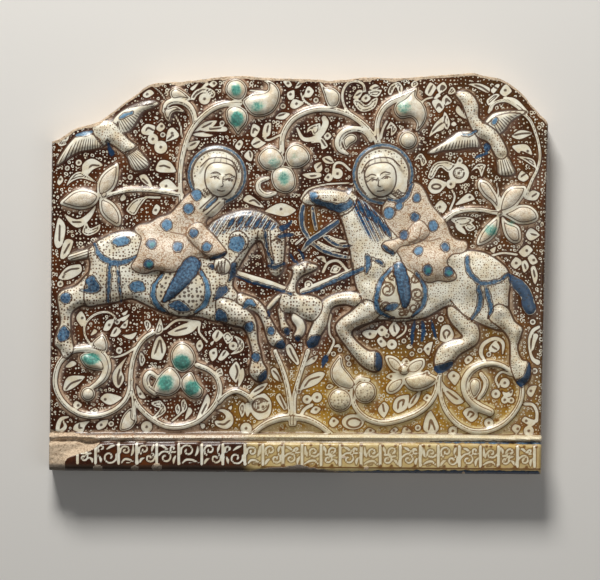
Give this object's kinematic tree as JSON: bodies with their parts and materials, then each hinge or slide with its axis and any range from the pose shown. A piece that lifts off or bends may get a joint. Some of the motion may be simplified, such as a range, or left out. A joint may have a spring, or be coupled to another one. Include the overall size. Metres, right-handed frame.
{
  "type": "moulded frieze tile",
  "caption": "Thick glazed wall tile moulded in relief with a mounted hunting scene, scrolling vines, birds and a plain foot border, its upper edge broken away.",
  "frame": {"origin": "middle of the tile's back face, which lies on the floor", "axes": "+X along the frieze to the right as seen from the front, +Y up the wall, +Z out of the decorated face"},
  "size_m": [0.348, 0.282, 0.031],
  "materials": {
    "glazed_stonepaste": "gloss tin glaze with brown lustre, cobalt and turquoise on the face; bare buff stonepaste on the break, sides and back"
  },
  "bodies": {
    "root": {"frieze_tile": "glazed_stonepaste"}
  },
  "joints": []
}
